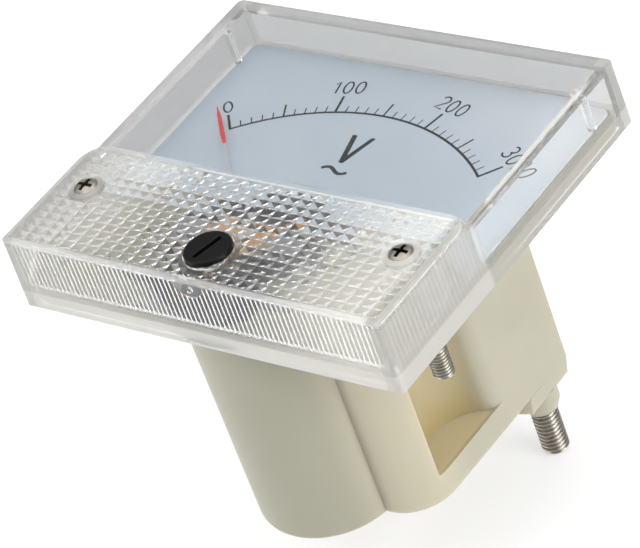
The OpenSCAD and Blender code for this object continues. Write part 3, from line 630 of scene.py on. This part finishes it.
class Print:
    """Flat ink shapes on the dial, gathered into one mesh."""

    def __init__(self):
        self.verts = []
        self.faces = []

    def shape(self, points):
        start = len(self.verts)
        self.verts += [(x * MM, y * MM, INK_Z * MM) for x, y in points]
        self.faces.append(tuple(range(start, len(self.verts))))

    def band(self, path, width):
        """Stroke of even width along a path."""
        shaded_sides = []
        for i, (x, y) in enumerate(path):
            ax, ay = path[max(i - 1, 0)]
            bx, by = path[min(i + 1, len(path) - 1)]
            half = width / 2 / math.hypot(bx - ax, by - ay)
            nx, ny = (ay - by) * half, (bx - ax) * half
            shaded_sides.append(((x - nx, y - ny), (x + nx, y + ny)))
        for (a, b), (c, d) in zip(shaded_sides, shaded_sides[1:]):
            self.shape([a, c, d, b])

    def finish(self, name):
        mesh = bpy.data.meshes.new(name)
        mesh.from_pydata(self.verts, [], self.faces)
        mesh.update()
        add_piece(name, mesh, INK, "meter")


def on_arc(volts, radius):
    angle = math.radians((volts / FULL_VOLTS - 0.5) * FULL_SWING)
    return radius * math.sin(angle), ARC_Y + radius * math.cos(angle)


def dial_scale():
    """The arc and its ticks."""
    ink = Print()
    ink.band([on_arc(volts, ARC_R) for volts in range(0, FULL_VOLTS + 1, 4)], ARC_W)
    for volts in range(0, FULL_VOLTS + 1, 10):
        length, width = next(tick[1:] for tick in TICKS if volts % tick[0] == 0)
        ink.band([on_arc(volts, ARC_R - TICK_SINK), on_arc(volts, ARC_R + length)], width)
    ink.finish("dial_scale")


def dial_unit():
    """The letter V and the wave sign of alternating current."""
    ink = Print()
    top, foot = UNIT_Y + UNIT_HALF, UNIT_Y - UNIT_HALF
    fork = (-0.08, foot + 1.6)
    ink.shape([(-1.95, top), (-1.15, top), fork, (0.25, foot), (-0.5, foot)])
    ink.shape([(1.25, top), (1.98, top), (0.25, foot), (-0.2, foot), fork])
    steps = [i / 20 for i in range(-20, 21)]
    wave = [(t * 2.2 - 0.1, WAVE_Y - 0.5 * math.sin(t * math.pi * 0.98)) for t in steps]
    ink.band(wave, 0.55)
    ink.finish("dial_unit")


def bow(x, y, rx, ry, start, end):
    """Points of an elliptic arc between two angles."""
    turns = [math.radians(start + (end - start) * i / 20) for i in range(21)]
    return [(x + rx * math.cos(t), y + ry * math.sin(t)) for t in turns]


# Width and strokes of each digit, for a height of 1
DIGITS = {
    "0": (0.56, [bow(0.28, 0.5, 0.25, 0.5, 90, 450)]),
    "1": (0.42, [[(0.06, 0.78), (0.26, 0.98), (0.26, 0.0)]]),
    "2": (0.56, [bow(0.28, 0.73, 0.25, 0.27, 165, -40) + [(0.02, 0.0), (0.56, 0.0)]]),
    "3": (0.56, [bow(0.26, 0.75, 0.23, 0.25, 150, -85), bow(0.26, 0.26, 0.27, 0.26, 88, -150)]),
}


def numeral(ink, digits, place, turn):
    """Digits in even strokes, centred on a place and turned about it."""
    spin = Matrix.Rotation(math.radians(turn), 2)
    start = -(sum(DIGITS[digit][0] + DIGIT_GAP for digit in digits) - DIGIT_GAP) / 2
    for digit in digits:
        width, strokes = DIGITS[digit]
        for path in strokes:
            flat = [Vector((start + x, y - 0.5)) * DIGIT_H for x, y in path]
            ink.band([tuple(Vector(place) + spin @ point) for point in flat], DIGIT_STROKE)
        start += width + DIGIT_GAP


def dial_numerals():
    ink = Print()
    for digits, place, turn in NUMERALS:
        numeral(ink, digits, place, turn)
    ink.finish("dial_numerals")


# Studio: places in metres, the lens in millimetres

FLOOR_HALF = 3.0
FLOOR_GAP = 0.0002
LIGHTS_AIM = Vector((0, 0.015, -0.01))
SOFTBOXES = (
    ("top_softbox", (-0.1, 0.1, 0.9), 1.3, 10.0),
    ("left_softbox", (-0.65, -0.5, 0.25), 0.7, 4.5),
    ("right_fill", (0.8, 0.0, 0.3), 0.6, 6.5),
)
CAMERA_PLACE = (0.290449, -0.249449, 0.276252)
CAMERA_RIGHT = (0.77891, 0.555885, -0.29033)
CAMERA_UP = (-0.170207, 0.63295, 0.755251)
CAMERA_BACK = (0.603597, -0.538856, 0.587626)
CAMERA_LENS = 202.517


def paper_floor():
    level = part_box("terminal_studs")[0].z - FLOOR_GAP
    turns = ((-1, -1), (1, -1), (1, 1), (-1, 1))
    mesh = bpy.data.meshes.new("floor")
    mesh.from_pydata([(x * FLOOR_HALF, y * FLOOR_HALF, level) for x, y in turns], [], [(0, 1, 2, 3)])
    mesh.materials.append(white_paper())
    floor = bpy.data.objects.new("floor", mesh)
    scene.collection.objects.link(floor)


def pale_room():
    """Light from all round, brightest at the height of the part."""
    world = bpy.data.worlds.new("studio")
    scene.world = world
    world.use_nodes = True
    tree = world.node_tree
    room = Term(tree)
    place = room.make("ShaderNodeTexCoord", out="Generated")
    rise = room.make("ShaderNodeSeparateXYZ", None, {"Vector": place}, "Z")
    glow = rise.step(0.1, 0.4).blend((0.9, 0.9, 0.9), (0.35, 0.35, 0.35))
    tree.links.new(glow.socket, tree.nodes["Background"].inputs["Color"])


def softboxes():
    for name, place, size, power in SOFTBOXES:
        light = bpy.data.lights.new(name, "AREA")
        light.shape = "SQUARE"
        light.size = size
        light.energy = power
        lamp = bpy.data.objects.new(name, light)
        scene.collection.objects.link(lamp)
        lamp.location = place
        lamp.rotation_euler = (LIGHTS_AIM - Vector(place)).to_track_quat("-Z", "Y").to_euler()


def camera():
    """The camera in the photograph's place."""
    lens = bpy.data.cameras.new("camera")
    lens.sensor_width = 36.0
    lens.lens = CAMERA_LENS
    lens.clip_start = 0.01
    viewer = bpy.data.objects.new("camera", lens)
    scene.collection.objects.link(viewer)
    turn = Matrix((CAMERA_RIGHT, CAMERA_UP, CAMERA_BACK)).transposed().to_4x4()
    viewer.matrix_world = Matrix.Translation(CAMERA_PLACE) @ turn
    scene.camera = viewer


def clear_view():
    """Plain colours, and enough bounces to see through the clear plastic."""
    scene.view_settings.view_transform = "Standard"
    scene.cycles.max_bounces = 24
    scene.cycles.transmission_bounces = 20
    scene.cycles.glossy_bounces = 20


# The whole part

for name, obj in nodes.items():
    obj.data.materials.clear()
    obj.data.materials.append(finishes[node_slot(name)])
nodes["front_bridge"].data.materials[0] = bridge_metal()
nodes["movement_frame"].data.materials[0] = finishes["soft_iron"]
rounded_copy("front_cover", 0.12)
rounded_copy("housing", 0.35)
rounded_copy("zero_adjuster", 0.15)
rounded_copy("cover_screws", 0.06).data.materials[0] = SCREW_STEEL
mounting_studs()
terminal_studs()
dial_scale()
dial_unit()
dial_numerals()
paper_floor()
pale_room()
softboxes()
camera()
clear_view()
